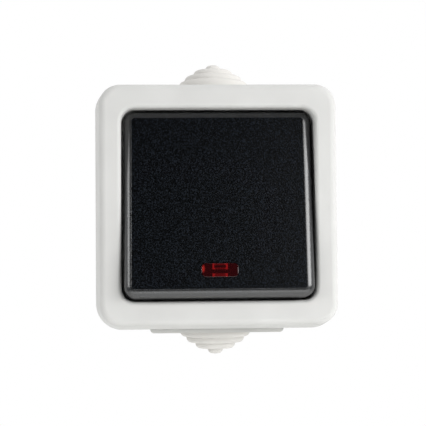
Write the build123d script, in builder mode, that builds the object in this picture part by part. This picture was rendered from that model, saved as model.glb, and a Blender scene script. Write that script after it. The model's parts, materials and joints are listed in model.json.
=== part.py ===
from build123d import *

import os
from math import cos, radians, sin, sqrt, tan

os.makedirs("parts", exist_ok=True)

# A surface-mounted splash-proof rocker switch with a lit window. The wall is the plane y = 0,
# the front faces -Y and +Z is up. The origin is the centre of the back face. A height is a
# distance in front of the wall.

# Cover frame
cover_width = 66.0  # flat front before its edge is rounded
cover_length = 66.9
cover_depth = 40.0
cover_corner = 5.6
cover_edge = 2.0
plate_thickness = 2.2
skirt_depth = 15.0
skirt_draft = 7.5
skirt_wall = 2.0
opening_corner = 3.7
opening_edge = 1.1
side_gap = 0.8  # between the rocker and the sides of the opening
end_gap = 0.55  # between the rocker's round ends and the ends of the opening
collar_wall = 1.5
well_floor = 1.6
well_gap = 0.5  # under the rocker's end when it is pressed right in

# Back box
base_wall = 2.0
base_floor = 2.2
base_draft = 1.0
rim_gap = 0.35
gasket_thickness = 1.6
land_width = 38.8
land_reach = 35.8  # from the middle of the box to the face that a grommet sits on
land_wall = 2.0
land_roof = 1.5
land_corner = 1.2
land_gap = 0.4
lip_reach = 0.8  # drip lip in front of the lower grommet
lip_thickness = 1.4
back_recess = 0.6
back_rim = 4.0
back_pad = 5.5
cable_axis = 12.5
cable_hole_radius = 8.0
pillar_radius = 3.75
pillar_rib = 1.4
wall_hole_radius = 2.25
wall_hole_spacing = 49.0
wall_hole_rim = 1.4
wall_hole_land = 1.2

# Cable grommets, with the steps from the land outwards
step_radii = (10.5, 8.65, 5.95, 2.3)
step_heights = (2.6, 1.8, 1.8, 1.6)
step_edge = 1.5
membrane = 1.1
grommet_flange = 9.1
flange_thickness = 1.4
neck_gap = 0.05

# Rocker, in its own frame: rise is towards the front, and the swing is about the pivot
pivot_height = 36.5
rocker_tilt = 8.14
rocker_width = 52.6
rocker_reach = 26.35  # the ends are arcs of this radius about the pivot
rocker_rise = 4.2
rocker_depth = 7.5
rocker_corner = 3.2
rocker_edge = 2.5
rocker_wall = 1.8
rib_thickness = 1.2
rib_depth = 2.2
rib_spacing = 28.0
rib_length = 44.0

# Indicator window in the rocker
lens_width = 10.2
lens_length = 3.9
lens_corner = 1.3
lens_edge = 0.2
lens_offset = -19.0
lens_gap = 0.08
lens_thickness = 1.2
leg_width = 4.15
leg_thickness = 0.9
leg_depth = 2.6
hook_reach = 0.5

# Tumbler that carries the rocker
tumbler_width = 18.0
tumbler_length = 24.0
tumbler_thickness = 2.0
hub_radius = 2.4
trunnion_radius = 1.25
trunnion_length = 2.0
running_gap = 0.05
stem_radius = 2.8
gusset_thickness = 1.4
gusset_reach = 10.0
gusset_depth = 5.5
clip_gap = 0.2
clip_thickness = 1.4
clip_width = 8.0
clip_nose = 0.9
clip_depth = 1.1
cheek_gap = 0.2
cheek_wall = 2.0
cheek_radius = 2.2
cheek_foot = 9.0

# Plunger and its spring, in the bore of the stem
plunger_radius = 1.6
plunger_gap = 0.3  # over the see-saw in the pose of the photograph
plunger_bare = 6.75  # length outside the stem
plunger_bore_gap = 0.08
plunger_length = 8.75
spigot_radius = 0.8
spigot_length = 2.0
spring_radius = 1.2
spring_wire = 0.22
spring_turns = 6
bore_end = 3.0

# Stem seal and lamp cap in the floor of the well
seal_slot_width = 12.0
seal_slot_length = 15.4
seal_flange = 1.6
seal_fit = 0.03
seal_flange_thickness = 1.0
swing_gap = 0.4
cap_radius = 3.0
cap_wall = 0.7
cap_flange = 4.2
cap_flange_thickness = 0.8
cap_rise = 4.0
lamp_hole_radius = 2.6
cap_plug_gap = 0.05

# Mechanism
mech_bottom = 9.0
mech_width = 24.0
mech_length = 30.0
mech_corner = 1.5
mech_wall = 1.6
mech_floor = 1.6
mech_lid = 1.8
ear_radius = 3.5
ear_thickness = 2.5
mech_screw_spacing = 33.0

# Contacts and terminals
strip_thickness = 0.8
strip_width = 4.4
pad_width = 6.0
pad_length = 5.0
terminal_margin = 4.3  # from the mechanism's end to a terminal screw
fork_inner = 3.8
fork_foot = 6.0
fork_ear = 4.0
fork_height = 3.8
notch_width = 1.4
notch_depth = 1.3
seat_gap = 0.25  # under the see-saw's lugs
seesaw_swing = 14.0
seesaw_arm = 7.6
seesaw_width = 6.8
seesaw_lug = 5.4
contact_offset = 6.2
rivet_radius = 1.6
rivet_shank = 0.8
rivet_gap = 0.03
contact_gap = 0.1
moving_head = 0.8
upset_radius = 1.2
upset_height = 0.4
stop_width = 1.1
stop_length = 1.2
stop_gap = 0.2
saddle_thickness = 1.0
saddle_opening = 3.0
wire_hole_radius = 1.5
wire_hole_offset = 2.0

# Screws
cover_screw_offset = 20.5
cover_screw_radius = 1.5
cover_head_radius = 2.9
cover_head_height = 2.0
cover_screw_bite = 11.0
mech_screw_radius = 1.4
mech_head_radius = 2.6
mech_head_height = 1.8
mech_screw_bite = 5.5
terminal_screw_radius = 1.4
terminal_head_radius = 2.4
terminal_head_height = 2.0
screw_gap = 0.05
head_edge = 0.6
slot_width = 0.8
slot_depth = 0.9
tip_gap = 1.0  # between a screw's tip and the end of its hole

# Lamp
lamp_radius = 2.0
lamp_dome = 1.8
lamp_gap = 0.3  # under the roof of the cap
lamp_length = 9.5
holder_radius = 3.0
holder_bore_gap = 0.1
holder_length = 12.0
holder_gap = 1.4  # under the floor of the well
holder_side_gap = 0.2  # beside the mechanism
resistor_radius = 0.95
resistor_length = 6.0
resistor_edge = 0.3
resistor_drop = 2.0  # under the lamp
lead_radius = 0.3
lead_offset = 1.0
lead_bend = 1.4
lead_low = 6.5
lead_bite = 1.5  # past a terminal screw
lead_clear = 2.5  # beyond the mechanism

# Swing of the rocker in the pose of the photograph, with its top pressed in
tilt_sin = sin(radians(rocker_tilt))
tilt_cos = cos(radians(rocker_tilt))
rocker_low = rocker_rise - rocker_depth
rocker_heel = sqrt(rocker_reach**2 - rocker_low**2)
rocker_drop = rocker_heel * tilt_sin - rocker_low * tilt_cos

# Sizes and heights that several pieces share
opening_width = rocker_width + 2 * side_gap
opening_length = 2 * (rocker_reach + end_gap)
plate_inner = cover_depth - plate_thickness
skirt_rear = cover_depth - skirt_depth
well_top = pivot_height - rocker_drop - well_gap
well_underside = well_top - well_floor
base_height = plate_inner - gasket_thickness
land_height = skirt_rear - land_gap
mech_inner = mech_bottom + mech_floor
mech_top = well_underside - seal_flange_thickness - mech_lid
strip_top = mech_inner + strip_thickness
seesaw_pivot = mech_inner + fork_height - notch_depth + strip_thickness / 2 + seat_gap
seesaw_top = seesaw_pivot + strip_thickness / 2
terminal_offset = mech_length / 2 - terminal_margin
plunger_reach = plunger_radius + (pivot_height - plunger_radius - seesaw_top - plunger_gap) / tilt_cos
stem_length = plunger_reach - plunger_bare
rocker_inner = rocker_rise - rocker_wall
lamp_bottom = well_top + cap_rise - cap_wall - lamp_gap - lamp_length
holder_top = well_underside - holder_gap
holder_bottom = holder_top - holder_length
holder_offset = -mech_length / 2 - holder_side_gap - holder_radius
resistor_bottom = lamp_bottom - resistor_drop - resistor_length
lead_entry = strip_top + saddle_opening / 2
lead_end = terminal_offset + lead_bite
lead_turn = mech_length / 2 + lead_clear


def at_height(height):
    """A plane parallel to the wall, seen from the front: its axes are the row's X and Z."""
    return Plane.XZ.offset(height)


def side_plane(x):
    """A plane across X: its axes are the row's Z and the height above the wall."""
    return Plane(origin=(x, 0, 0), x_dir=(0, 0, 1), z_dir=(1, 0, 0))


def skirt_outer(size, height):
    """Outside size of the drafted skirt at a height."""
    return size + 2 * (cover_depth - height) * tan(radians(skirt_draft))


def skirt_inner(size, height):
    """Inside size of the drafted skirt at a height."""
    return skirt_outer(size, height) - 2 * skirt_wall / cos(radians(skirt_draft))


def skirt_inner_corner(height):
    """Inside corner radius of the drafted skirt at a height."""
    return cover_corner + (skirt_inner(cover_width, height) - cover_width) / 2


rim_width = skirt_inner(cover_width, base_height) - 2 * rim_gap
rim_length = skirt_inner(cover_length, base_height) - 2 * rim_gap
rim_corner = skirt_inner_corner(base_height) - rim_gap
cover_screw_points = (
    (-cover_screw_offset, cover_screw_offset),
    (cover_screw_offset, -cover_screw_offset),
)
mech_screw_points = ((-mech_screw_spacing / 2, 0), (mech_screw_spacing / 2, 0))
wall_hole_points = ((0, -wall_hole_spacing / 2), (0, wall_hole_spacing / 2))
terminal_points = ((0, -terminal_offset), (0, terminal_offset))

# The rocker's own planes
rocker_front = (0, -tilt_cos, tilt_sin)
rocker_plane = Plane(origin=(0, -pivot_height, 0), x_dir=(1, 0, 0), z_dir=rocker_front)
rocker_axis = Axis((0, -pivot_height, 0), rocker_front)


def rocker_side(x):
    """A plane across X in the rocker's frame: its axes are the rocker's length and its rise."""
    return Plane(origin=(x, -pivot_height, 0), x_dir=(0, tilt_sin, tilt_cos), z_dir=(1, 0, 0))


# Back box: a drafted tub with a hollow land at each end for a grommet
with BuildPart() as base_box:
    with BuildSketch(at_height(base_height)):
        RectangleRounded(rim_width, rim_length, rim_corner)
    extrude(amount=-base_height, taper=-base_draft)
    with BuildSketch(at_height(0)):
        RectangleRounded(land_width, 2 * land_reach, land_corner)
    extrude(amount=land_height)
    with BuildSketch(at_height(base_height)):
        RectangleRounded(
            rim_width - 2 * base_wall, rim_length - 2 * base_wall, rim_corner - base_wall
        )
    extrude(amount=base_floor - base_height, taper=-base_draft, mode=Mode.SUBTRACT)
    with BuildSketch(at_height(base_floor)):
        RectangleRounded(land_width - 2 * land_wall, 2 * (land_reach - land_wall), land_corner)
    extrude(amount=land_height - land_roof - base_floor, mode=Mode.SUBTRACT)
    with BuildSketch(Plane.XY.offset(-land_reach)):
        with Locations((0, -cable_axis)):
            Circle(cable_hole_radius)
    extrude(amount=2 * land_reach, mode=Mode.SUBTRACT)
    # drip lip along the front edge of the lower land
    with BuildSketch(at_height(land_height)) as lip_profile:
        with Locations((0, -land_reach - lip_reach)):
            Rectangle(land_width, lip_reach + land_wall, align=(Align.CENTER, Align.MIN))
        fillet(lip_profile.vertices().group_by(Axis.Y)[0], land_corner)
    extrude(amount=-lip_thickness)
    # pillars for the cover screws, each tied to the side wall by a rib
    with BuildSketch(at_height(base_floor)):
        with Locations(*cover_screw_points):
            Circle(pillar_radius)
    extrude(amount=well_underside - base_floor)
    with BuildSketch(at_height(base_floor)):
        for x, z in cover_screw_points:
            rib_end = (rim_width - base_wall) / 2
            with Locations(((x + rib_end * x / abs(x)) / 2, z)):
                Rectangle(rib_end - abs(x), pillar_rib)
    extrude(amount=land_height - base_floor)
    with BuildSketch(at_height(well_underside)):
        with Locations(*cover_screw_points):
            Circle(cover_screw_radius + screw_gap)
    extrude(amount=-cover_screw_bite, mode=Mode.SUBTRACT)
    # seats for the mechanism
    with BuildSketch(at_height(base_floor)):
        with Locations(*mech_screw_points):
            Circle(ear_radius)
    extrude(amount=mech_bottom - base_floor)
    with BuildSketch(at_height(mech_bottom)):
        with Locations(*mech_screw_points):
            Circle(mech_screw_radius + screw_gap)
    extrude(amount=-mech_screw_bite, mode=Mode.SUBTRACT)
    # raised rims round the holes for the wall screws
    with BuildSketch(at_height(base_floor)):
        with Locations(*wall_hole_points):
            Circle(wall_hole_radius + wall_hole_rim)
    extrude(amount=wall_hole_land)
    with BuildSketch(at_height(0)):
        with Locations(*wall_hole_points):
            Circle(wall_hole_radius)
    extrude(amount=base_floor + wall_hole_land, mode=Mode.SUBTRACT)
    # shallow recess in the back, with a rim, a middle pad and one round each hole on the wall
    with BuildSketch(at_height(0)):
        RectangleRounded(rim_width - 2 * back_rim, rim_length - 2 * back_rim, rim_corner)
        with Locations((0, 0), *wall_hole_points):
            Circle(back_pad, mode=Mode.SUBTRACT)
    extrude(amount=back_recess, mode=Mode.SUBTRACT)
base_box.part.label = "base_box"
export_step(base_box.part, "parts/base_box.step")

# Cover frame: front plate with a flared skirt, and a well for the rocker with the bearing
# cheeks on its floor
with BuildPart() as cover_frame:
    with BuildSketch(at_height(cover_depth)):
        RectangleRounded(cover_width, cover_length, cover_corner)
    extrude(amount=-skirt_depth, taper=-skirt_draft)
    fillet(cover_frame.faces().sort_by(Axis.Y)[0].edges(), cover_edge)
    with BuildSketch(at_height(plate_inner)):
        RectangleRounded(
            skirt_inner(cover_width, plate_inner),
            skirt_inner(cover_length, plate_inner),
            skirt_inner_corner(plate_inner),
        )
    extrude(amount=skirt_rear - plate_inner, taper=-skirt_draft, mode=Mode.SUBTRACT)
    with BuildSketch(at_height(well_underside)):
        RectangleRounded(
            opening_width + 2 * collar_wall,
            opening_length + 2 * collar_wall,
            opening_corner + collar_wall,
        )
    extrude(amount=plate_inner - well_underside)
    with BuildSketch(at_height(well_top)):
        RectangleRounded(opening_width, opening_length, opening_corner)
    extrude(amount=cover_depth - well_top, mode=Mode.SUBTRACT)
    fillet(cover_frame.faces().sort_by(Axis.Y)[0].inner_wires().edges(), opening_edge)
    cheek_inner = tumbler_width / 2 + cheek_gap
    for cheek_x in (cheek_inner, -cheek_inner - cheek_wall):
        with BuildSketch(side_plane(cheek_x)):
            with Locations((0, pivot_height)):
                Circle(cheek_radius)
            with Locations((0, well_top)):
                Rectangle(cheek_foot, well_floor, align=(Align.CENTER, Align.MIN))
            make_hull()
            with Locations((0, pivot_height)):
                Circle(trunnion_radius + running_gap, mode=Mode.SUBTRACT)
        extrude(amount=cheek_wall)
    with BuildSketch(at_height(well_underside)):
        SlotOverall(seal_slot_length, seal_slot_width, rotation=90)
        with Locations(*cover_screw_points):
            Circle(cover_screw_radius + 2 * screw_gap)
        with Locations((0, holder_offset)):
            Circle(lamp_hole_radius)
    extrude(amount=well_floor, mode=Mode.SUBTRACT)
cover_frame.part.label = "cover_frame"
export_step(cover_frame.part, "parts/cover_frame.step")

# Rubber ring pinched between the rim of the box and the front plate
with BuildPart() as cover_gasket:
    with BuildSketch(at_height(base_height)):
        RectangleRounded(rim_width, rim_length, rim_corner)
        RectangleRounded(
            rim_width - 2 * base_wall,
            rim_length - 2 * base_wall,
            rim_corner - base_wall,
            mode=Mode.SUBTRACT,
        )
    extrude(amount=gasket_thickness)
cover_gasket.part.label = "cover_gasket"
export_step(cover_gasket.part, "parts/cover_gasket.step")


def slotted_screws(points, seat, head_radius, head_height, shank_radius, shank_length):
    """Pan head screws with a straight slot, driven towards the wall, heads on a seat height."""
    with BuildPart() as screws:
        with BuildSketch(at_height(seat)):
            with Locations(*points):
                Circle(head_radius)
        extrude(amount=head_height)
        fillet(screws.faces().group_by(Axis.Y)[0].edges(), head_edge)
        with BuildSketch(at_height(seat)):
            with Locations(*points):
                Circle(shank_radius)
        extrude(amount=-shank_length)
        with BuildSketch(at_height(seat + head_height)):
            with Locations(*points):
                Rectangle(2 * head_radius, slot_width)
        extrude(amount=-slot_depth, mode=Mode.SUBTRACT)
    return screws


# Screws through the floor of the well into the pillars of the box
cover_screws = slotted_screws(
    cover_screw_points,
    well_top,
    cover_head_radius,
    cover_head_height,
    cover_screw_radius,
    well_floor + cover_screw_bite - tip_gap,
)
cover_screws.part.label = "cover_screws"
export_step(cover_screws.part, "parts/cover_screws.step")

# Grommet for the upper cable entry: a stepped cone that is cut to the cable, with a groove for
# the land's wall
grommet_axis = Axis((0, -cable_axis, 0), (0, 0, 1))
with BuildPart() as grommet_top:
    with BuildSketch(at_height(cable_axis)) as grommet_profile:
        step_base = land_reach
        for radius, height in zip(step_radii, step_heights):
            with Locations((0, step_base)):
                Rectangle(radius, height, align=(Align.MIN, Align.MIN))
            step_base += height
        step_tops = [
            land_reach + sum(step_heights[: count + 1]) for count in range(len(step_heights))
        ]
        fillet(
            [
                corner
                for corner in grommet_profile.vertices()
                for radius, top in zip(step_radii, step_tops)
                if abs(corner.X - radius) < step_edge / 2 and abs(corner.Y - top) < step_edge / 2
            ],
            step_edge,
        )
        with Locations((0, land_reach - land_wall)):
            Rectangle(cable_hole_radius - neck_gap, land_wall, align=(Align.MIN, Align.MIN))
        with Locations((0, land_reach - land_wall - flange_thickness)):
            Rectangle(grommet_flange, flange_thickness, align=(Align.MIN, Align.MIN))
        step_base = land_reach
        for radius, height in zip(step_radii, step_heights):
            step_base += height
            inside = min(radius, cable_hole_radius) - membrane
            inside_low = land_reach - land_wall - flange_thickness
            with Locations((0, inside_low)):
                Rectangle(
                    inside,
                    step_base - membrane - inside_low,
                    align=(Align.MIN, Align.MIN),
                    mode=Mode.SUBTRACT,
                )
    revolve(axis=grommet_axis)
grommet_top.part.label = "grommet_top"
export_step(grommet_top.part, "parts/grommet_top.step")

# The lower grommet is the same moulding turned over
with BuildPart() as grommet_bottom:
    mirror(grommet_top.part, about=Plane.XY)
grommet_bottom.part.label = "grommet_bottom"
export_step(grommet_bottom.part, "parts/grommet_bottom.step")

# Rubber seal that lines the slot in the floor of the well and leaves room for the stem to swing
with BuildPart() as stem_seal:
    with BuildSketch(at_height(well_underside - seal_flange_thickness)):
        SlotOverall(seal_slot_length + 2 * seal_flange, seal_slot_width + 2 * seal_flange, rotation=90)
    extrude(amount=seal_flange_thickness)
    with BuildSketch(at_height(well_underside)):
        SlotOverall(seal_slot_length - 2 * seal_fit, seal_slot_width - 2 * seal_fit, rotation=90)
    extrude(amount=well_floor)
    with BuildSketch(at_height(well_top)):
        SlotOverall(seal_slot_length + 2 * seal_flange, seal_slot_width + 2 * seal_flange, rotation=90)
    extrude(amount=seal_flange_thickness)
    seal_swing = (pivot_height - mech_top) * tilt_sin + stem_radius / tilt_cos + swing_gap
    with BuildSketch(at_height(well_underside - seal_flange_thickness)):
        SlotOverall(2 * seal_swing, 2 * (stem_radius + swing_gap), rotation=90)
    extrude(amount=well_floor + 2 * seal_flange_thickness, mode=Mode.SUBTRACT)
stem_seal.part.label = "stem_seal"
export_step(stem_seal.part, "parts/stem_seal.step")

# Clear cap over the lamp, plugged into the floor of the well
with BuildPart() as lamp_cap:
    with BuildSketch(side_plane(0)):
        with Locations((holder_offset, well_underside)):
            Rectangle(lamp_hole_radius - cap_plug_gap, well_floor, align=(Align.MIN, Align.MIN))
        with Locations((holder_offset, well_top)):
            Rectangle(cap_flange, cap_flange_thickness, align=(Align.MIN, Align.MIN))
            Rectangle(cap_radius, cap_rise, align=(Align.MIN, Align.MIN))
    revolve(axis=Axis((0, 0, holder_offset), (0, -1, 0)))
    fillet(lamp_cap.faces().sort_by(Axis.Y)[0].edges(), cap_wall)
    with BuildSketch(at_height(well_underside)):
        with Locations((0, holder_offset)):
            Circle(cap_radius - cap_wall)
    extrude(amount=well_floor + cap_rise - cap_wall, mode=Mode.SUBTRACT)
lamp_cap.part.label = "lamp_cap"
export_step(lamp_cap.part, "parts/lamp_cap.step")

# Rocker: a hollow key whose ends are arcs about the pivot, so that its gap stays even as it swings
with BuildPart() as rocker:
    with BuildSketch(rocker_side(0)):
        Circle(rocker_reach)
        with Locations((0, rocker_rise - rocker_depth / 2)):
            Rectangle(3 * rocker_reach, rocker_depth, mode=Mode.INTERSECT)
    extrude(amount=rocker_width / 2, both=True)
    fillet(rocker.edges().filter_by(GeomType.CIRCLE), rocker_corner)
    fillet(rocker.faces().sort_by(rocker_axis)[-1].edges(), rocker_edge)
    offset(amount=-rocker_wall, openings=rocker.faces().sort_by(rocker_axis)[0])
    with BuildSketch(rocker_plane.offset(rocker_inner - rib_depth)):
        with Locations((-rib_spacing / 2, 0), (rib_spacing / 2, 0)):
            Rectangle(rib_thickness, rib_length)
    extrude(amount=rib_depth + rocker_wall / 2)
    # hooks that grip the ends of the tumbler's plate
    for side in (-1, 1):
        clip_near = tumbler_length / 2 + clip_gap
        nose_top = rocker_inner - tumbler_thickness - running_gap
        with BuildSketch(rocker_side(0)):
            with BuildLine():
                Polyline(
                    (side * clip_near, rocker_inner + rocker_wall / 2),
                    (side * (clip_near + clip_thickness), rocker_inner + rocker_wall / 2),
                    (side * (clip_near + clip_thickness), nose_top - clip_depth),
                    (side * clip_near, nose_top - clip_depth),
                    (side * (clip_near - clip_nose), nose_top),
                    (side * clip_near, nose_top),
                    close=True,
                )
            make_face()
        extrude(amount=clip_width / 2, both=True)
    # the window, and the seats that its legs hook behind
    with BuildSketch(rocker_plane.offset(rocker_rise)):
        with Locations((0, lens_offset)):
            RectangleRounded(
                lens_width + 2 * lens_gap, lens_length + 2 * lens_gap, lens_corner + lens_gap
            )
    extrude(amount=-rocker_wall - rocker_edge, mode=Mode.SUBTRACT)
rocker.part.label = "rocker"
export_step(rocker.part, "parts/rocker.step")

# Red window with a snap leg above and below
with BuildPart() as indicator_lens:
    with BuildSketch(rocker_plane.offset(rocker_rise - lens_thickness)):
        with Locations((0, lens_offset)):
            RectangleRounded(lens_width, lens_length, lens_corner)
    extrude(amount=lens_thickness)
    fillet(indicator_lens.faces().sort_by(rocker_axis)[-1].edges(), lens_edge)
    for side in (-1, 1):
        leg_outer = lens_offset + side * lens_length / 2
        leg_top = rocker_rise - lens_thickness
        with BuildSketch(rocker_side(0)):
            with BuildLine():
                Polyline(
                    (leg_outer, leg_top),
                    (leg_outer, rocker_inner - running_gap),
                    (leg_outer + side * (lens_gap + hook_reach), rocker_inner - running_gap),
                    (leg_outer, rocker_rise - leg_depth - lens_thickness),
                    (leg_outer - side * leg_thickness, rocker_rise - leg_depth - lens_thickness),
                    (leg_outer - side * leg_thickness, leg_top),
                    close=True,
                )
            make_face()
        extrude(amount=leg_width / 2, both=True)
indicator_lens.part.label = "indicator_lens"
export_step(indicator_lens.part, "parts/indicator_lens.step")

# Tumbler: plate under the rocker, trunnions in the cheeks, and a bored stem for the plunger
with BuildPart() as tumbler:
    with BuildSketch(rocker_plane.offset(rocker_inner - tumbler_thickness)):
        RectangleRounded(tumbler_width, tumbler_length, rib_thickness)
    extrude(amount=tumbler_thickness)
    with BuildSketch(rocker_side(0)):
        Circle(hub_radius)
    extrude(amount=tumbler_width / 2, both=True)
    with BuildSketch(rocker_side(0)):
        Circle(trunnion_radius)
    extrude(amount=tumbler_width / 2 + trunnion_length, both=True)
    with BuildSketch(rocker_side(0)):
        with BuildLine():
            Polyline(
                (-gusset_reach, rocker_inner - tumbler_thickness),
                (gusset_reach, rocker_inner - tumbler_thickness),
                (stem_radius, -gusset_depth),
                (-stem_radius, -gusset_depth),
                close=True,
            )
        make_face()
    extrude(amount=gusset_thickness / 2, both=True)
    with BuildSketch(rocker_plane.offset(-stem_length)):
        Circle(stem_radius)
    extrude(amount=stem_length)
    with BuildSketch(rocker_plane.offset(-stem_length)):
        Circle(plunger_radius + plunger_bore_gap)
    extrude(amount=stem_length - bore_end, mode=Mode.SUBTRACT)
tumbler.part.label = "tumbler"
export_step(tumbler.part, "parts/tumbler.step")

# Plunger with a round nose and a spigot for its spring
plunger_back = plunger_length - plunger_reach
with BuildPart() as plunger:
    with BuildSketch(rocker_side(0)):
        with Locations((0, plunger_back)):
            Rectangle(plunger_radius, plunger_length, align=(Align.MIN, Align.MAX))
            Rectangle(spigot_radius, spigot_length, align=(Align.MIN, Align.MIN))
        with Locations((0, plunger_radius - plunger_reach)):
            Rectangle(plunger_radius, plunger_radius, align=(Align.MIN, Align.MAX), mode=Mode.SUBTRACT)
            Circle(plunger_radius)
        with Locations((0, plunger_back)):
            Rectangle(
                2 * plunger_radius,
                2 * plunger_reach,
                align=(Align.MAX, Align.CENTER),
                mode=Mode.SUBTRACT,
            )
    revolve(axis=rocker_axis)
plunger.part.label = "plunger"
export_step(plunger.part, "parts/plunger.step")

# Compression spring between the end of the bore and the back of the plunger
spring_room = -bore_end - plunger_back
spring_height = spring_room - 2 * spring_wire - 2 * running_gap
with BuildPart() as plunger_spring:
    with BuildLine() as spring_path:
        Helix(
            pitch=spring_height / spring_turns,
            height=spring_height,
            radius=spring_radius,
            center=(rocker_plane.offset(plunger_back + spring_wire + running_gap)).origin,
            direction=rocker_front,
        )
    with BuildSketch(Plane(origin=spring_path.line @ 0, z_dir=spring_path.line % 0)):
        Circle(spring_wire)
    sweep(is_frenet=True)
plunger_spring.part.label = "plunger_spring"
export_step(plunger_spring.part, "parts/plunger_spring.step")

# Mechanism body: an open moulded box with ears for its screws and holes for the wires
with BuildPart() as mechanism_body:
    with BuildSketch(at_height(mech_bottom)):
        RectangleRounded(mech_width, mech_length, mech_corner)
    extrude(amount=mech_top - mech_bottom)
    with BuildSketch(at_height(mech_bottom)):
        with Locations(*mech_screw_points):
            Circle(ear_radius)
        Rectangle(mech_screw_spacing, 2 * ear_radius)
    extrude(amount=ear_thickness)
    with BuildSketch(at_height(mech_inner)):
        RectangleRounded(mech_width - 2 * mech_wall, mech_length - 2 * mech_wall, mech_corner / 2)
    extrude(amount=mech_top - mech_inner, mode=Mode.SUBTRACT)
    with BuildSketch(at_height(mech_bottom)):
        with Locations(*mech_screw_points):
            Circle(mech_screw_radius + screw_gap)
        with Locations(*terminal_points):
            Circle(terminal_screw_radius + screw_gap)
    extrude(amount=ear_thickness, mode=Mode.SUBTRACT)
    with BuildSketch(Plane.XY.offset(-mech_length / 2)):
        with Locations((-wire_hole_offset, -lead_entry), (wire_hole_offset, -lead_entry)):
            Circle(wire_hole_radius)
    extrude(amount=mech_length, mode=Mode.SUBTRACT)
    # ribs that stop the see-saw on its open side
    with BuildSketch(at_height(mech_inner)):
        stop_x = strip_width / 2 + (seesaw_width - strip_width) / 4
        with Locations((-stop_x, contact_offset), (stop_x, contact_offset)):
            Rectangle(stop_width, stop_length)
    extrude(amount=seesaw_pivot - strip_thickness / 2 - stop_gap - mech_inner)
mechanism_body.part.label = "mechanism_body"
export_step(mechanism_body.part, "parts/mechanism_body.step")

# Lid of the mechanism, with a slot for the stem and holes over the terminal screws
with BuildPart() as mechanism_cover:
    with BuildSketch(at_height(mech_top)):
        RectangleRounded(mech_width, mech_length, mech_corner)
        SlotOverall(
            2 * ((pivot_height - mech_top) * tilt_sin + stem_radius / tilt_cos + swing_gap),
            2 * (stem_radius + swing_gap),
            rotation=90,
            mode=Mode.SUBTRACT,
        )
        with Locations(*terminal_points):
            Circle(terminal_head_radius + swing_gap, mode=Mode.SUBTRACT)
    extrude(amount=mech_lid)
mechanism_cover.part.label = "mechanism_cover"
export_step(mechanism_cover.part, "parts/mechanism_cover.step")

mechanism_screws = slotted_screws(
    mech_screw_points,
    mech_bottom + ear_thickness,
    mech_head_radius,
    mech_head_height,
    mech_screw_radius,
    ear_thickness + mech_screw_bite - tip_gap,
)
mechanism_screws.part.label = "mechanism_screws"
export_step(mechanism_screws.part, "parts/mechanism_screws.step")

# Common terminal: a brass strip with a notched ear each side that the see-saw rocks in
with BuildPart() as common_terminal:
    with BuildSketch(at_height(mech_inner)):
        Rectangle(2 * (fork_inner + strip_thickness), fork_foot)
        with Locations((0, terminal_offset / 2)):
            Rectangle(strip_width, terminal_offset)
        with Locations((0, terminal_offset)):
            Rectangle(pad_width, pad_length)
            Circle(terminal_screw_radius + screw_gap, mode=Mode.SUBTRACT)
    extrude(amount=strip_thickness)
    for ear_x in (fork_inner, -fork_inner - strip_thickness):
        with BuildSketch(side_plane(ear_x)):
            with Locations((0, mech_inner)):
                Rectangle(fork_ear, fork_height, align=(Align.CENTER, Align.MIN))
            with Locations((0, mech_inner + fork_height)):
                Rectangle(
                    notch_width,
                    notch_depth,
                    align=(Align.CENTER, Align.MAX),
                    mode=Mode.SUBTRACT,
                )
        extrude(amount=strip_thickness)
common_terminal.part.label = "common_terminal"
export_step(common_terminal.part, "parts/common_terminal.step")

# Contact terminal: a brass strip that carries the fixed contact
strip_end = fork_foot / 2 + notch_width
with BuildPart() as contact_terminal:
    with BuildSketch(at_height(mech_inner)):
        with Locations((0, -strip_end)):
            Rectangle(strip_width, terminal_offset - strip_end, align=(Align.CENTER, Align.MAX))
        with Locations((0, -terminal_offset)):
            Rectangle(pad_width, pad_length)
            Circle(terminal_screw_radius + screw_gap, mode=Mode.SUBTRACT)
        with Locations((0, -contact_offset)):
            Circle(rivet_shank + rivet_gap, mode=Mode.SUBTRACT)
    extrude(amount=strip_thickness)
contact_terminal.part.label = "contact_terminal"
export_step(contact_terminal.part, "parts/contact_terminal.step")

# See-saw contact: a strip bent upwards at its middle, with lugs that rest in the fork
with BuildPart() as contact_seesaw:
    with BuildSketch(side_plane(0)):
        with Locations((0, seesaw_pivot)):
            Rectangle(seesaw_arm, strip_thickness, align=(Align.MAX, Align.CENTER))
            Rectangle(
                seesaw_arm, strip_thickness, rotation=seesaw_swing, align=(Align.MIN, Align.CENTER)
            )
            Circle(strip_thickness / 2)
    extrude(amount=seesaw_width / 2, both=True)
    with BuildSketch(side_plane(0)):
        with Locations((0, seesaw_pivot)):
            Circle(strip_thickness / 2)
    extrude(amount=seesaw_lug, both=True)
    with BuildSketch(at_height(mech_inner)):
        with Locations((0, -contact_offset)):
            Circle(rivet_shank + rivet_gap)
    extrude(amount=seesaw_pivot, mode=Mode.SUBTRACT)
contact_seesaw.part.label = "contact_seesaw"
export_step(contact_seesaw.part, "parts/contact_seesaw.step")

# Silver contact rivets, closed in the pose of the photograph
seesaw_underside = seesaw_pivot - strip_thickness / 2
moving_face = seesaw_underside - moving_head
with BuildPart() as moving_rivet:
    with BuildSketch(at_height(moving_face)):
        with Locations((0, -contact_offset)):
            Circle(rivet_radius)
    extrude(amount=moving_head)
    with BuildSketch(at_height(seesaw_underside)):
        with Locations((0, -contact_offset)):
            Circle(rivet_shank)
    extrude(amount=strip_thickness)
    with BuildSketch(at_height(seesaw_underside + strip_thickness)):
        with Locations((0, -contact_offset)):
            Circle(upset_radius)
    extrude(amount=upset_height)
moving_rivet.part.label = "moving_rivet"
export_step(moving_rivet.part, "parts/moving_rivet.step")

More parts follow.
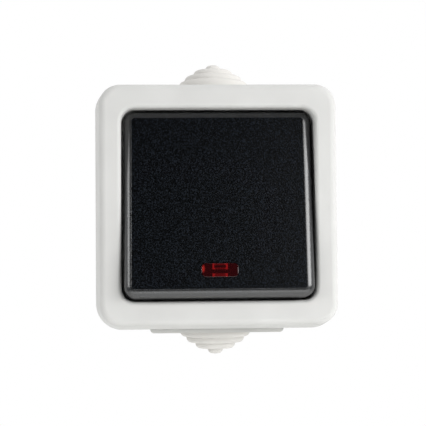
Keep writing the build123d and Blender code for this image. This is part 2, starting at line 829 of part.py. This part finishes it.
with BuildPart() as fixed_rivet:
    with BuildSketch(at_height(mech_inner)):
        with Locations((0, -contact_offset)):
            Circle(rivet_shank)
    extrude(amount=strip_thickness)
    with BuildSketch(at_height(strip_top)):
        with Locations((0, -contact_offset)):
            Circle(rivet_radius)
    extrude(amount=moving_face - contact_gap - strip_top)
fixed_rivet.part.label = "fixed_rivet"
export_step(fixed_rivet.part, "parts/fixed_rivet.step")

# Saddles that clamp the wires under the terminal screws
saddle_seat = strip_top + saddle_opening
with BuildPart() as terminal_saddles:
    with BuildSketch(at_height(saddle_seat)):
        with Locations(*terminal_points):
            Rectangle(pad_width, pad_length)
            Circle(terminal_screw_radius + screw_gap, mode=Mode.SUBTRACT)
    extrude(amount=saddle_thickness)
terminal_saddles.part.label = "terminal_saddles"
export_step(terminal_saddles.part, "parts/terminal_saddles.step")

terminal_screws = slotted_screws(
    terminal_points,
    saddle_seat + saddle_thickness,
    terminal_head_radius,
    terminal_head_height,
    terminal_screw_radius,
    saddle_thickness + saddle_opening + strip_thickness + mech_floor - screw_gap,
)
terminal_screws.part.label = "terminal_screws"
export_step(terminal_screws.part, "parts/terminal_screws.step")

# Lamp holder: a tube with a foot against the end of the mechanism
with BuildPart() as lamp_holder:
    with BuildSketch(at_height(holder_bottom)):
        with Locations((0, holder_offset)):
            Circle(holder_radius)
        with Locations((0, -mech_length / 2)):
            Rectangle(
                2 * holder_radius, -mech_length / 2 - holder_offset, align=(Align.CENTER, Align.MAX)
            )
        with Locations((0, holder_offset)):
            Circle(lamp_radius + holder_bore_gap, mode=Mode.SUBTRACT)
    extrude(amount=holder_top - holder_bottom)
lamp_holder.part.label = "lamp_holder"
export_step(lamp_holder.part, "parts/lamp_holder.step")

# Neon lamp with a domed end
with BuildPart() as neon_lamp:
    with BuildSketch(at_height(lamp_bottom)):
        with Locations((0, holder_offset)):
            Circle(lamp_radius)
    extrude(amount=lamp_length)
    fillet(neon_lamp.faces().sort_by(Axis.Y)[0].edges(), lamp_dome)
neon_lamp.part.label = "neon_lamp"
export_step(neon_lamp.part, "parts/neon_lamp.step")

with BuildPart() as lamp_resistor:
    with BuildSketch(at_height(resistor_bottom)):
        with Locations((lead_offset, holder_offset)):
            Circle(resistor_radius)
    extrude(amount=resistor_length)
    fillet(lamp_resistor.edges().filter_by(GeomType.CIRCLE), resistor_edge)
lamp_resistor.part.label = "lamp_resistor"
export_step(lamp_resistor.part, "parts/lamp_resistor.step")

# Leads from the lamp to the two terminals, one through the resistor
with BuildPart() as lamp_leads:
    with BuildLine(side_plane(-lead_offset)) as near_lead:
        FilletPolyline(
            (holder_offset, lamp_bottom),
            (holder_offset, lead_entry),
            (-lead_end, lead_entry),
            radius=lead_bend,
        )
    with BuildSketch(Plane(origin=near_lead.line @ 0, z_dir=near_lead.line % 0)):
        Circle(lead_radius)
    sweep(path=near_lead.line)
    with BuildSketch(at_height(resistor_bottom + resistor_length)):
        with Locations((lead_offset, holder_offset)):
            Circle(lead_radius)
    extrude(amount=lamp_bottom - resistor_bottom - resistor_length)
    with BuildLine(side_plane(lead_offset)) as far_lead:
        FilletPolyline(
            (holder_offset, resistor_bottom),
            (holder_offset, lead_low),
            (lead_turn, lead_low),
            (lead_turn, lead_entry),
            (lead_end, lead_entry),
            radius=lead_bend,
        )
    with BuildSketch(Plane(origin=far_lead.line @ 0, z_dir=far_lead.line % 0)):
        Circle(lead_radius)
    sweep(path=far_lead.line)
lamp_leads.part.label = "lamp_leads"
export_step(lamp_leads.part, "parts/lamp_leads.step")
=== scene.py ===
import json
import math

import bmesh
import bpy
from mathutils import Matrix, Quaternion, Vector


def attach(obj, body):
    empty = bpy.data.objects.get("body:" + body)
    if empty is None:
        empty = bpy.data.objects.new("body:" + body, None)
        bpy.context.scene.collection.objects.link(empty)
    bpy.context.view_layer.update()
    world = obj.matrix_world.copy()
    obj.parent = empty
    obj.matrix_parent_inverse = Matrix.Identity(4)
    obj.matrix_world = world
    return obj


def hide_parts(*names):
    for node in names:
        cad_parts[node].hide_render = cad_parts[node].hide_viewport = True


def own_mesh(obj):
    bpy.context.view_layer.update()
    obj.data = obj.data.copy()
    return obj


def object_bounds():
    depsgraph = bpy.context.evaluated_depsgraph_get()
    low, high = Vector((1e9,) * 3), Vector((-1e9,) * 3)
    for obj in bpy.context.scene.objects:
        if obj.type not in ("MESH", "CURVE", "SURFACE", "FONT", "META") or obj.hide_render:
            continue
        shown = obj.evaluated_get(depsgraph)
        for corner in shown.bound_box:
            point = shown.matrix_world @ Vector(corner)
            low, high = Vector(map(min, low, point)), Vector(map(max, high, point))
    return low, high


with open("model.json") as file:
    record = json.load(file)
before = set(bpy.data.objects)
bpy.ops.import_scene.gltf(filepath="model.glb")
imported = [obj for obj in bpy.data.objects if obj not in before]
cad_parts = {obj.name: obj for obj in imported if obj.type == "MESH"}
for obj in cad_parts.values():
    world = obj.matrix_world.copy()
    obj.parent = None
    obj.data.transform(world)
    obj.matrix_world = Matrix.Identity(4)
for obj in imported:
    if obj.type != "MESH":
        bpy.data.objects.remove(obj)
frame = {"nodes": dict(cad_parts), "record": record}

cadLow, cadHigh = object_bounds()
nodes = frame["nodes"]
mm = 0.001
noiseRange = {"From Min": 0.3, "From Max": 0.7}  # nearly all of a noise pattern lies between these
print("frame loaded:", len(nodes), "nodes")


def linear(hexColour):
    # sRGB hex to the linear values that the shaders take
    channels = [int(hexColour[i:i + 2], 16) / 255 for i in (1, 3, 5)]
    return tuple(c / 12.92 if c <= 0.04045 else ((c + 0.055) / 1.055) ** 2.4 for c in channels) + (1.0,)


def addNode(tree, kind, inputs=None, **settings):
    # a node with its settings, its fixed inputs and its links, which come from sockets or first outputs
    node = tree.nodes.new(kind)
    for name, value in settings.items():
        setattr(node, name, value)
    for socket, value in (inputs or {}).items():
        if isinstance(value, bpy.types.Node):
            tree.links.new(value.outputs[0], node.inputs[socket])
        elif isinstance(value, bpy.types.NodeSocket):
            tree.links.new(value, node.inputs[socket])
        else:
            node.inputs[socket].default_value = value
    return node


def newMaterial(name):
    # an empty material, and each point's place on the object
    material = bpy.data.materials.new(name)
    material.use_nodes = True
    tree = material.node_tree
    tree.nodes.clear()
    return material, tree, addNode(tree, "ShaderNodeTexCoord").outputs["Object"]


def addSurface(tree, inputs):
    # the shader comes last, with its constants on its own sockets
    shader = addNode(tree, "ShaderNodeBsdfPrincipled", inputs)
    addNode(tree, "ShaderNodeOutputMaterial", {"Surface": shader})


def evenFinish(look):
    # one material all over: its colour drifts slowly, and a fine grain shows in its gloss and relief
    material, tree, place = newMaterial(look["name"])
    drift = addNode(tree, "ShaderNodeTexNoise", {"Vector": place, "Scale": 1 / (look["driftMm"] * mm)})
    share = addNode(tree, "ShaderNodeMapRange", {"Value": drift, **noiseRange})
    colours = {"Factor": share, 6: linear(look["dark"]), 7: linear(look["light"])}
    inputs = dict(look["surface"])
    inputs["Base Color"] = addNode(tree, "ShaderNodeMix", colours, data_type="RGBA").outputs[2]
    size = {"Vector": place, "Scale": 1 / (look["grainMm"] * mm), "Detail": look["grainDetail"]}
    grain = addNode(tree, "ShaderNodeTexNoise", size)
    low, high = look["rough"]
    rough = {"Value": grain, **noiseRange, "To Min": low, "To Max": high}
    inputs["Roughness"] = addNode(tree, "ShaderNodeMapRange", rough)
    if "depthMm" in look:
        relief = {"Height": grain, "Distance": look["depthMm"] * mm, "Strength": 1.0}
        inputs["Normal"] = addNode(tree, "ShaderNodeBump", relief)
    addSurface(tree, inputs)
    return material


mouldedSurface = {"IOR": 1.5, "Specular IOR Level": 0.35}
metalSurface = {"Metallic": 1.0}  # the metals' grain is drawn coarser than the real one, so that it shows

evenFinishes = {
    # light grey ABS, spark-eroded mould: an even satin with a grain too fine to see from a step away
    "cover_plastic": {
        "name": "coverAbsSatin", "surface": mouldedSurface, "dark": "#CACAC8", "light": "#D0D0CE",
        "driftMm": 14.0, "rough": (0.55, 0.66), "grainMm": 0.35, "grainDetail": 3.0, "depthMm": 0.004,
    },
    # the same ABS from a plainer mould: a touch whiter, and hardly less dull
    "box_plastic": {
        "name": "boxAbsMatt", "surface": mouldedSurface, "dark": "#D1D1CE", "light": "#D8D8D5",
        "driftMm": 14.0, "rough": (0.50, 0.62), "grainMm": 0.5, "grainDetail": 3.0, "depthMm": 0.006,
    },
    # grey polyamide with glass fibre: dry and slightly blotchy
    "mechanism_plastic": {
        "name": "mechanismPolyamide", "surface": mouldedSurface, "dark": "#3A3D40", "light": "#47494C",
        "driftMm": 14.0, "rough": (0.45, 0.62), "grainMm": 0.8, "grainDetail": 3.0, "depthMm": 0.010,
    },
    # natural acetal: milky, waxy and smooth
    "tumbler_plastic": {
        "name": "tumblerAcetal", "surface": mouldedSurface, "dark": "#E4E2DA", "light": "#EEECE5",
        "driftMm": 14.0, "rough": (0.25, 0.34), "grainMm": 1.2, "grainDetail": 3.0, "depthMm": 0.003,
    },
    # off-white thermoplastic rubber: soft and dry, with a faint powdery bloom
    "grommet_rubber": {
        "name": "grommetRubber", "surface": mouldedSurface, "dark": "#D2D0CC", "light": "#DBD9D5",
        "driftMm": 14.0, "rough": (0.58, 0.72), "grainMm": 0.6, "grainDetail": 3.0, "depthMm": 0.008,
    },
    # black seal rubber: dull, with a dry skin
    "seal_rubber": {
        "name": "sealRubber", "surface": mouldedSurface, "dark": "#2A2A2B", "light": "#353536",
        "driftMm": 14.0, "rough": (0.55, 0.70), "grainMm": 0.6, "grainDetail": 3.0, "depthMm": 0.008,
    },
    # stamped brass strip: warm yellow with a faint mottle
    "brass": {
        "name": "brassStamped", "surface": metalSurface, "dark": "#B58E4B", "light": "#D2AE6A",
        "driftMm": 3.0, "rough": (0.24, 0.38), "grainMm": 0.3, "grainDetail": 2.0, "depthMm": 0.002,
    },
    # headed silver alloy: the brightest metal, nearly white
    "silver": {
        "name": "silverRivet", "surface": metalSurface, "dark": "#C9C9C6", "light": "#E2E2DF",
        "driftMm": 3.0, "rough": (0.20, 0.32), "grainMm": 0.3, "grainDetail": 2.0, "depthMm": 0.002,
    },
    # zinc-plated steel screws: bluish grey and fairly bright
    "zinc_steel": {
        "name": "zincPlatedSteel", "surface": metalSurface, "dark": "#A9ADB0", "light": "#C6CACD",
        "driftMm": 3.0, "rough": (0.22, 0.36), "grainMm": 0.3, "grainDetail": 2.0, "depthMm": 0.002,
    },
    # drawn spring wire: darker grey with a soft shine
    "spring_steel": {
        "name": "springWire", "surface": metalSurface, "dark": "#8E9194", "light": "#A9ACAF",
        "driftMm": 3.0, "rough": (0.25, 0.35), "grainMm": 0.3, "grainDetail": 2.0, "depthMm": 0.002,
    },
    # tinned copper leads: pale and smooth
    "tinned_copper": {
        "name": "tinnedCopperWire", "surface": metalSurface, "dark": "#B9BABA", "light": "#D1D2D2",
        "driftMm": 3.0, "rough": (0.22, 0.34), "grainMm": 0.3, "grainDetail": 2.0, "depthMm": 0.002,
    },
    # moulded clear silicone: faintly milky
    "clear_rubber": {
        "name": "clearSilicone", "surface": {"IOR": 1.41, "Transmission Weight": 1.0},
        "dark": "#E9E9E6", "light": "#F4F4F2", "driftMm": 2.0,
        "rough": (0.18, 0.28), "grainMm": 2.0, "grainDetail": 2.0,
    },
    # blown glass bulb: clear and glossy
    "lamp_glass": {
        "name": "lampGlass", "surface": {"IOR": 1.5, "Transmission Weight": 1.0},
        "dark": "#F2F2F0", "light": "#FAFAF8", "driftMm": 2.0,
        "rough": (0.02, 0.05), "grainMm": 2.0, "grainDetail": 2.0,
    },
    # tan lacquer on the resistor's body: smooth with a soft gloss
    "resistor_body": {
        "name": "resistorLacquer", "surface": {"IOR": 1.5}, "dark": "#B79C74", "light": "#CBB18A",
        "driftMm": 0.8, "rough": (0.30, 0.45), "grainMm": 0.8, "grainDetail": 2.0,
    },
}

# Planes of the pressed rocker, which its finishes follow
rockerFrame = {"pivotHeight": 0.0365, "tiltDegrees": 8.14, "faceRise": 0.0042}
rockerTilt = math.radians(rockerFrame["tiltDegrees"])
rockerFront = Vector((0.0, -math.cos(rockerTilt), math.sin(rockerTilt)))
rockerUp = Vector((0.0, math.sin(rockerTilt), math.cos(rockerTilt)))
rockerPivot = Vector((0.0, -rockerFrame["pivotHeight"], 0.0))


def distanceAlong(tree, place, direction):
    # how far a point lies from the pivot in a direction
    fromPivot = addNode(tree, "ShaderNodeVectorMath", {0: place, 1: rockerPivot}, operation="SUBTRACT")
    return addNode(
        tree, "ShaderNodeVectorMath", {0: fromPivot, 1: direction}, operation="DOT_PRODUCT"
    ).outputs["Value"]


rockerLook = {
    "dark": "#010203",
    # the colour of the painted glints
    "light": "#151A21",
    "ior": 1.5,
    "paintedGlintSpeckle": (0.49, 0.62),  # the part of the grain painted lighter, as glints
    "faceRough": (0.30, 0.42),
    "faceGloss": 0.16,
    "edgeRough": 0.34,
    "edgeGloss": 1.0,
    "edgeStart": (0.05, 0.01),  # millimetres under the front, where the grain fades out
    "grainMm": 0.40,
    "grainDetail": 3.0,
    "grainContrast": 0.6,
    "depthMm": 0.080,  # deeper than the real texture, so that it shows from the photograph's distance
}


def rockerPlastic(look):
    # black ABS, spark-eroded mould: a sparkling front with smooth, glossier rounded edges; its glints come
    # partly from the bumped grain and partly from lighter specks painted into the colour
    material, tree, place = newMaterial("rockerAbsSparkEroded")
    under, over = (rockerFrame["faceRise"] - depth * mm for depth in look["edgeStart"])
    rise = distanceAlong(tree, place, rockerFront)
    face = addNode(tree, "ShaderNodeMapRange", {"Value": rise, "From Min": under, "From Max": over})
    size = {"Vector": place, "Scale": 1 / (look["grainMm"] * mm), "Detail": look["grainDetail"]}
    grain = addNode(tree, "ShaderNodeTexNoise", {**size, "Roughness": look["grainContrast"]})
    low, high = look["paintedGlintSpeckle"]
    # lighter specks painted into the colour stand for glints off the grain
    paintedGlints = addNode(tree, "ShaderNodeMapRange", {"Value": grain, "From Min": low, "From Max": high})
    colours = {"Factor": paintedGlints, 6: linear(look["dark"]), 7: linear(look["light"])}
    colour = addNode(tree, "ShaderNodeMix", colours, data_type="RGBA").outputs[2]
    low, high = look["faceRough"]
    faceRough = addNode(
        tree, "ShaderNodeMapRange", {"Value": grain, **noiseRange, "To Min": low, "To Max": high}
    )
    rough = addNode(tree, "ShaderNodeMix", {0: face, 2: look["edgeRough"], 3: faceRough}, data_type="FLOAT")
    gloss = addNode(
        tree, "ShaderNodeMapRange", {"Value": face, "To Min": look["edgeGloss"], "To Max": look["faceGloss"]}
    )
    height = addNode(tree, "ShaderNodeMath", {0: grain, 1: face}, operation="MULTIPLY")
    relief = {"Height": height, "Distance": look["depthMm"] * mm, "Strength": 1.0}
    inputs = {"IOR": look["ior"], "Base Color": colour, "Roughness": rough, "Specular IOR Level": gloss}
    inputs["Normal"] = addNode(tree, "ShaderNodeBump", relief)
    addSurface(tree, inputs)
    return material


# Places and sizes in metres, from the window's middle
windowLook = {
    "body": "#2A0608",
    # the colour of the painted highlight on the snap legs' outlines
    "edge": "#841416",
    # the colour of a painted glowing spot at one end
    "paintedGlow": "#98201B",
    "ior": 1.58,
    "clearness": 0.15,
    "rough": 0.12,
    "offset": -0.019,  # the window's middle, up the rocker from its pivot
    "legHalf": 0.00207,  # half a leg's width
    "legs": ((0.00100, 0.00078), (-0.00138, 0.00042)),  # middle and half height of each snap leg
    "line": 0.00042,
    "lineFade": (0.25, 0.85),  # shares of the line's width
    "highlightBetweenCorners": 0.30,  # how much of the painted highlight the legs keep between their corners
    "cornerHighlightFade": (0.0009, 0.0003),
    # the painted glowing spot at the left end: its place, size, bright core and squeeze across
    "paintedGlowPlace": (-0.0046, 0.0004),
    "paintedGlowSize": 0.0013,
    "paintedGlowCore": 0.3,
    "paintedGlowSlim": 2.4,
}


def redWindow(look):
    # smoky red polycarbonate, nearly black: a painted highlight outlines the snap legs, and one end carries
    # a painted glowing spot, though nothing lights them from within
    material, tree, place = newMaterial("redPolycarbonate")
    height = distanceAlong(tree, place, rockerUp)
    along = addNode(tree, "ShaderNodeMath", {0: height, 1: look["offset"]}, operation="SUBTRACT")
    across = addNode(tree, "ShaderNodeSeparateXYZ", {0: place}).outputs["X"]
    side = addNode(tree, "ShaderNodeMath", {0: across}, operation="ABSOLUTE")
    pastSide = addNode(tree, "ShaderNodeMath", {0: side, 1: look["legHalf"]}, operation="SUBTRACT")
    near, far = (look["line"] * share for share in look["lineFade"])
    # legs gathers the painted highlight along the snap legs' outlines
    legs = 0.0
    for middle, half in look["legs"]:
        shift = addNode(tree, "ShaderNodeMath", {0: along, 1: middle}, operation="SUBTRACT")
        drop = addNode(tree, "ShaderNodeMath", {0: shift}, operation="ABSOLUTE")
        pastEnd = addNode(tree, "ShaderNodeMath", {0: drop, 1: half}, operation="SUBTRACT")
        away = addNode(tree, "ShaderNodeMath", {0: pastSide, 1: pastEnd}, operation="MAXIMUM")
        # the painted highlight is strongest just inside the leg's outline
        inside = addNode(tree, "ShaderNodeMath", {0: away, 1: look["line"] / 2}, operation="ADD")
        line = addNode(tree, "ShaderNodeMath", {0: inside}, operation="ABSOLUTE")
        fade = {"Value": line, "From Min": near, "From Max": far, "To Min": 1.0, "To Max": 0.0}
        outlineHighlight = addNode(tree, "ShaderNodeMapRange", fade)
        legs = addNode(tree, "ShaderNodeMath", {0: legs, 1: outlineHighlight}, operation="MAXIMUM")
    # the painted highlight brightens towards the legs' sides, at their corners
    inner, outer = (look["legHalf"] - gap for gap in look["cornerHighlightFade"])
    fade = {"Value": side, "From Min": inner, "From Max": outer, "To Min": look["highlightBetweenCorners"], "To Max": 1.0}
    corner = addNode(tree, "ShaderNodeMapRange", fade)
    legs = addNode(tree, "ShaderNodeMath", {0: legs, 1: corner}, operation="MULTIPLY")
    # a painted glowing spot near the left end, though nothing inside the window is lit
    left, up = look["paintedGlowPlace"]
    fromLeft = addNode(tree, "ShaderNodeMath", {0: across, 1: left}, operation="SUBTRACT")
    slim = addNode(tree, "ShaderNodeMath", {0: fromLeft, 1: look["paintedGlowSlim"]}, operation="MULTIPLY")
    raised = addNode(tree, "ShaderNodeMath", {0: along, 1: up}, operation="SUBTRACT")
    fromPaintedGlow = addNode(tree, "ShaderNodeCombineXYZ", {0: slim, 1: raised})
    reach = addNode(tree, "ShaderNodeVectorMath", {0: fromPaintedGlow}, operation="LENGTH").outputs["Value"]
    core = look["paintedGlowSize"] * look["paintedGlowCore"]
    fade = {"Value": reach, "From Min": core, "From Max": look["paintedGlowSize"], "To Min": 1.0, "To Max": 0.0}
    paintedGlow = addNode(tree, "ShaderNodeMapRange", fade)
    # the painted highlight is mixed into the window's own dark red
    colours = {"Factor": legs, 6: linear(look["body"]), 7: linear(look["edge"])}
    legsHighlighted = addNode(tree, "ShaderNodeMix", colours, data_type="RGBA").outputs[2]
    colours = {"Factor": paintedGlow, 6: legsHighlighted, 7: linear(look["paintedGlow"])}
    inputs = {"IOR": look["ior"], "Transmission Weight": look["clearness"], "Roughness": look["rough"]}
    inputs["Base Color"] = addNode(tree, "ShaderNodeMix", colours, data_type="RGBA").outputs[2]
    addSurface(tree, inputs)
    return material


finishes = {slot: evenFinish(look) for slot, look in evenFinishes.items()}
finishes["rocker_plastic"] = rockerPlastic(rockerLook)
finishes["red_window"] = redWindow(windowLook)
print("materials made:", len(finishes))

for part in frame["record"]["subparts"]:
    mesh = nodes[part["node"]].data
    mesh.materials.clear()
    mesh.materials.append(finishes[part["material_slot"]])
print("finishes given to the nodes")

# Fixed end of the plunger's spring, measured back from the pivot, and how far the plunger goes in
springPress = {"fixedEnd": 0.0030, "stroke": 0.0010, "mergeMm": 0.001}


def makeSpring():
    # a merged, smooth-shaded copy of the CAD coil, carried with the rocker in place of the CAD node
    mesh = bmesh.new()
    mesh.from_mesh(nodes["plunger_spring"].data)
    bmesh.ops.remove_doubles(mesh, verts=mesh.verts, dist=springPress["mergeMm"] * mm)
    for face in mesh.faces:
        face.smooth = True
    data = bpy.data.meshes.new("coilSpring")
    mesh.to_mesh(data)
    mesh.free()
    data.materials.append(finishes["spring_steel"])
    spring = bpy.data.objects.new("coilSpring", data)
    bpy.context.scene.collection.objects.link(spring)
    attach(spring, "rocker")
    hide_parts("plunger_spring")
    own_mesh(spring)


def aim(thing, place, ahead, roll=0.0):
    # stands a lamp or the camera at a place, looking ahead
    turn = Vector(ahead).to_track_quat("-Z", "Y") @ Quaternion((0, 0, 1), roll)
    thing.location = place
    thing.rotation_mode = "QUATERNION"
    thing.rotation_quaternion = turn
    bpy.context.scene.collection.objects.link(thing)


# The photograph's view: from a little left of and below the middle, turned half a degree
camera = {
    "place": (-0.01633, -0.340, -0.01493),
    "ahead": (0.048825, 0.997944, 0.041527),
    "rollDegrees": -0.516,
    "lens": 91.55,
    "sensor": 36.0,
    "nearest": 0.01,
    "farthest": 20,
}


def makeCamera():
    data = bpy.data.cameras.new("photoCamera")
    data.sensor_width = camera["sensor"]
    data.lens = camera["lens"]
    data.clip_start = camera["nearest"]
    data.clip_end = camera["farthest"]
    view = bpy.data.objects.new("photoCamera", data)
    aim(view, camera["place"], camera["ahead"], math.radians(camera["rollDegrees"]))
    bpy.context.scene.camera = view


# Lamps are softboxes that face the switch: direction from the switch, distance, size and radiance
lamps = {
    "keyRight": {
        "azimuth": 49, "elevation": 12, "distance": 0.65, "width": 0.46, "height": 0.28, "radiance": 9.6,
    },
    "sideLeft": {
        "azimuth": -60, "elevation": 12, "distance": 0.65, "width": 0.26, "height": 0.20, "radiance": 7.4,
    },
    "fillAbove": {
        "azimuth": 0, "elevation": 86, "distance": 0.65, "width": 0.50, "height": 0.16, "radiance": 3.2,
    },
    "fillBelow": {
        "azimuth": 0, "elevation": -40, "distance": 0.30, "width": 0.40, "height": 0.08, "radiance": 1.8,
    },
}


def makeLamps():
    middle = (cadLow + cadHigh) / 2
    for name, look in lamps.items():
        around, up = math.radians(look["azimuth"]), math.radians(look["elevation"])
        towards = Vector((math.sin(around) * math.cos(up), -math.cos(around) * math.cos(up), math.sin(up)))
        data = bpy.data.lights.new(name, "AREA")
        data.shape = "RECTANGLE"
        data.size = look["width"]
        data.size_y = look["height"]
        data.energy = look["radiance"] * math.pi * look["width"] * look["height"]
        aim(bpy.data.objects.new(name, data), middle + towards * look["distance"], -towards)


# The room is white behind the switch and dim in front of it: each edge says where along Y it turns
room = {
    "backdrop": "#FFFFFF",
    "backdropLight": 0.78,
    "frontLight": 0.16,
    "frontMirrored": "#141416",
    "mirrorEdge": (-0.15, 0.15),
    "lightEdge": (-0.75, 0.15),
}


def makeWorld():
    # white where the camera looks past the switch, and the room's own light and reflections elsewhere
    world = bpy.data.worlds.new("studio")
    world.use_nodes = True
    bpy.context.scene.world = world
    tree = world.node_tree
    tree.nodes.clear()
    white = linear(room["backdrop"])
    rays = addNode(tree, "ShaderNodeLightPath").outputs
    direction = addNode(tree, "ShaderNodeTexCoord").outputs["Generated"]
    behind = addNode(tree, "ShaderNodeSeparateXYZ", {0: direction}).outputs["Y"]
    low, high = room["mirrorEdge"]
    share = addNode(tree, "ShaderNodeMapRange", {"Value": behind, "From Min": low, "From Max": high})
    colours = {"Factor": share, 6: linear(room["frontMirrored"]), 7: white}
    mirrored = addNode(tree, "ShaderNodeMix", colours, data_type="RGBA").outputs[2]
    low, high = room["lightEdge"]
    share = addNode(tree, "ShaderNodeMapRange", {"Value": behind, "From Min": low, "From Max": high})
    front, back = ((room[key],) * 3 + (1.0,) for key in ("frontLight", "backdropLight"))
    colours = {"Factor": share, 6: front, 7: back}
    lighting = addNode(tree, "ShaderNodeMix", colours, data_type="RGBA").outputs[2]
    glossy = {0: rays["Is Glossy Ray"], 1: rays["Is Transmission Ray"]}
    reflected = addNode(tree, "ShaderNodeMath", glossy, operation="MAXIMUM")
    unseen = {"Factor": reflected, 6: lighting, 7: mirrored}
    unseen = addNode(tree, "ShaderNodeMix", unseen, data_type="RGBA").outputs[2]
    seen = {"Factor": rays["Is Camera Ray"], 6: unseen, 7: white}
    colour = addNode(tree, "ShaderNodeMix", seen, data_type="RGBA").outputs[2]
    light = addNode(tree, "ShaderNodeBackground", {"Color": colour, "Strength": 1.0})
    addNode(tree, "ShaderNodeOutputWorld", {"Surface": light})


floorLook = {
    "dark": "#EFEFED",
    "light": "#F3F3F1",
    "driftMm": 30.0,
    "rough": 0.9,
    "gloss": 0.1,
    "drop": 0.20,
    "size": 0.8,
    "lift": 0.8,
    "mirroredLift": 0.35,
}


def makeFloor():
    # pale paper under the switch: lit as any surface, and lifted to white where the camera looks
    mesh = bmesh.new()
    bmesh.ops.create_grid(mesh, x_segments=1, y_segments=1, size=floorLook["size"] / 2)
    bmesh.ops.translate(mesh, verts=mesh.verts, vec=(0, 0, cadLow.z - floorLook["drop"]))
    data = bpy.data.meshes.new("floor")
    mesh.to_mesh(data)
    mesh.free()
    floor = bpy.data.objects.new("floor", data)
    bpy.context.scene.collection.objects.link(floor)
    material, tree, place = newMaterial("floorPaper")
    fibre = addNode(tree, "ShaderNodeTexNoise", {"Vector": place, "Scale": 1 / (floorLook["driftMm"] * mm)})
    share = addNode(tree, "ShaderNodeMapRange", {"Value": fibre, **noiseRange})
    colours = {"Factor": share, 6: linear(floorLook["dark"]), 7: linear(floorLook["light"])}
    rays = addNode(tree, "ShaderNodeLightPath").outputs
    seen = {0: rays["Is Camera Ray"], 1: floorLook["lift"]}
    mirrored = {0: rays["Is Glossy Ray"], 1: floorLook["mirroredLift"]}
    lifts = [addNode(tree, "ShaderNodeMath", lift, operation="MULTIPLY") for lift in (seen, mirrored)]
    inputs = {"Roughness": floorLook["rough"], "Specular IOR Level": floorLook["gloss"]}
    inputs["Base Color"] = addNode(tree, "ShaderNodeMix", colours, data_type="RGBA").outputs[2]
    inputs["Emission Color"] = linear(room["backdrop"])
    inputs["Emission Strength"] = addNode(tree, "ShaderNodeMath", dict(enumerate(lifts)), operation="ADD")
    addSurface(tree, inputs)
    data.materials.append(material)


makeSpring()
makeCamera()
makeLamps()
makeWorld()
makeFloor()
bpy.context.scene.view_settings.view_transform = "Standard"
print("camera, lamps and floor placed")
